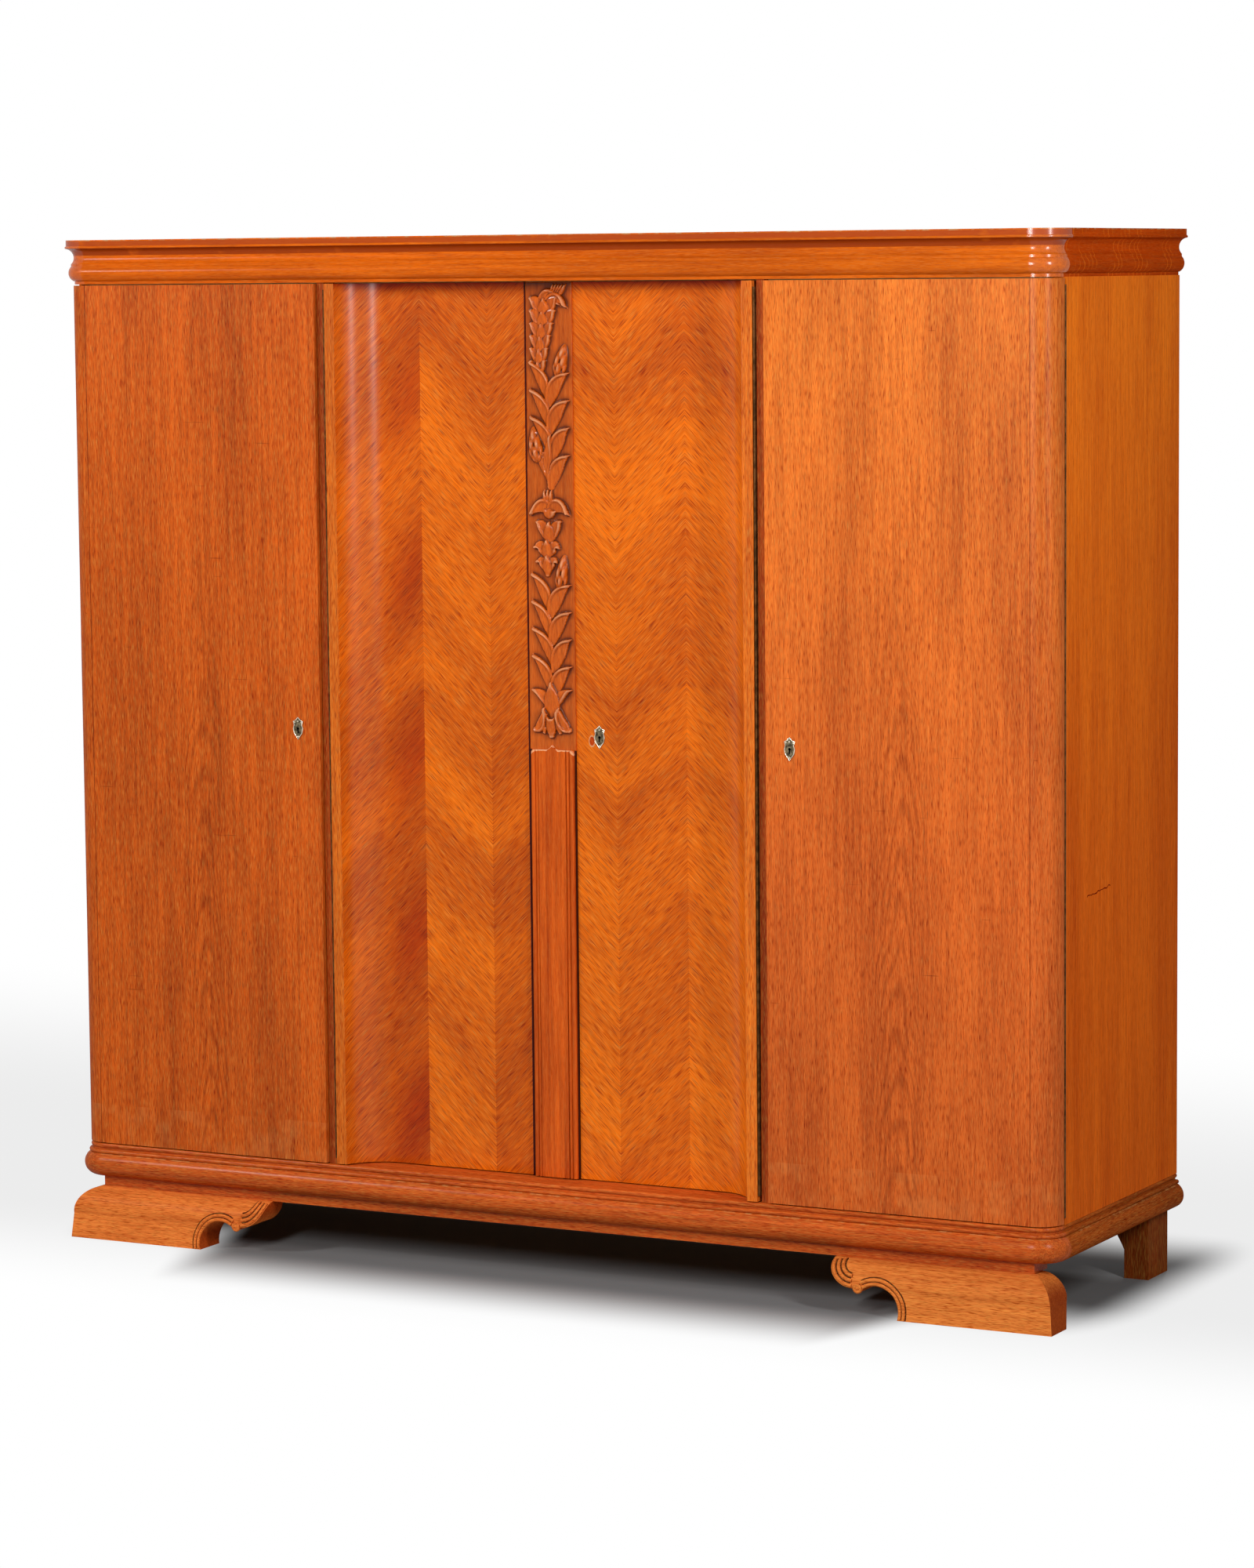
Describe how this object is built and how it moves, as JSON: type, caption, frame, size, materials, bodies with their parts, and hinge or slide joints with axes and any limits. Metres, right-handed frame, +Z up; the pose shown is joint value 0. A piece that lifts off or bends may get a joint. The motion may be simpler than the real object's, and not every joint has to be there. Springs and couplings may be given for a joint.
{
  "type": "wardrobe",
  "caption": "Wide oak wardrobe with rounded outer doors, concave centre doors with a carved meeting strip, moulded cornice and plinth, bracket feet, shelves and hanging rails.",
  "frame": {"origin": "on the floor under the middle of the wardrobe", "axes": "+X along the front to the right, +Y from the front to the back, +Z up"},
  "size_m": [1.9072, 0.571, 1.771],
  "materials": {
    "oak_veneer": "glossy orange-brown oak veneer",
    "oak_solid": "glossy red-brown solid oak",
    "inner_wood": "plain matt boards",
    "plywood": "raw plywood",
    "rail_wood": "turned rail",
    "aged_brass": "darkened brass",
    "lock_iron": "dark iron",
    "hinge_steel": "brassed steel"
  },
  "bodies": {
    "carcass": {"carcass_floor": "inner_wood", "carcass_top": "inner_wood", "back_panels": "plywood", "cornice_front": "oak_solid", "cornice_board": "plywood", "plinth_front": "oak_solid", "back_rails": "oak_solid", "apron": "oak_solid", "shelves": "inner_wood", "hat_shelves": "inner_wood", "shelf_battens": "inner_wood", "hanging_rails": "rail_wood", "rail_cleats": "inner_wood", "side_left": "oak_veneer", "divider_left": "inner_wood", "stile_left": "oak_solid", "cornice_side_left": "oak_solid", "plinth_side_left": "oak_solid", "front_foot_left": "oak_solid", "rear_foot_left": "oak_solid", "hinge_outer_left_fixed": "hinge_steel", "hinge_centre_left_fixed": "hinge_steel", "side_right": "oak_veneer", "divider_right": "inner_wood", "stile_right": "oak_solid", "cornice_side_right": "oak_solid", "plinth_side_right": "oak_solid", "front_foot_right": "oak_solid", "rear_foot_right": "oak_solid", "hinge_outer_right_fixed": "hinge_steel", "hinge_centre_right_fixed": "hinge_steel"},
    "left_door": {"door_left": "oak_veneer", "hinge_outer_left_door": "hinge_steel", "key_plate_left": "aged_brass", "lock_case_left": "lock_iron"},
    "right_door": {"door_right": "oak_veneer", "hinge_outer_right_door": "hinge_steel", "key_plate_right": "aged_brass", "lock_case_right": "lock_iron"},
    "centre_left_door": {"centre_panel_left": "oak_veneer", "lipping_left": "oak_solid", "hinge_centre_left_door": "hinge_steel", "slide_guides": "lock_iron"},
    "centre_right_door": {"centre_panel_right": "oak_veneer", "lipping_right": "oak_solid", "meeting_strip": "oak_solid", "pilaster": "oak_solid", "hinge_centre_right_door": "hinge_steel", "key_plate_centre": "aged_brass", "lock_case_centre": "lock_iron"},
    "left_lock_bolt": {"lock_bolt_left": "hinge_steel"},
    "right_lock_bolt": {"lock_bolt_right": "hinge_steel"},
    "centre_lock_bolt": {"lock_bolt_centre": "hinge_steel"},
    "top_slide_bolt": {"slide_bolt_top": "hinge_steel"},
    "bottom_slide_bolt": {"slide_bolt_bottom": "hinge_steel"}
  },
  "joints": [
    {"name": "left_door_hinge", "type": "hinge", "parent": "carcass", "child": "left_door", "pos_m": [-0.939, -0.2122, 0.171], "axis": [0, 0, -1], "range_deg": [0, 150]},
    {"name": "centre_left_door_hinge", "type": "hinge", "parent": "carcass", "child": "centre_left_door", "pos_m": [-0.4092, -0.2535, 0.171], "axis": [0, 0, -1], "range_deg": [0, 150]},
    {"name": "left_lock_bolt_slide", "type": "slide", "parent": "left_door", "child": "left_lock_bolt", "axis": [1, 0, 0], "range_m": [0, 0.01]},
    {"name": "right_door_hinge", "type": "hinge", "parent": "carcass", "child": "right_door", "pos_m": [0.939, -0.2122, 0.171], "axis": [0, 0, 1], "range_deg": [0, 150]},
    {"name": "centre_right_door_hinge", "type": "hinge", "parent": "carcass", "child": "centre_right_door", "pos_m": [0.4092, -0.2535, 0.171], "axis": [0, 0, 1], "range_deg": [0, 150]},
    {"name": "right_lock_bolt_slide", "type": "slide", "parent": "right_door", "child": "right_lock_bolt", "axis": [-1, 0, 0], "range_m": [0, 0.01]},
    {"name": "centre_lock_bolt_slide", "type": "slide", "parent": "centre_right_door", "child": "centre_lock_bolt", "axis": [-1, 0, 0], "range_m": [0, 0.02]},
    {"name": "top_slide_bolt_slide", "type": "slide", "parent": "centre_left_door", "child": "top_slide_bolt", "axis": [0, 0, 1], "range_m": [0, 0.012]},
    {"name": "bottom_slide_bolt_slide", "type": "slide", "parent": "centre_left_door", "child": "bottom_slide_bolt", "axis": [0, 0, -1], "range_m": [0, 0.012]}
  ]
}
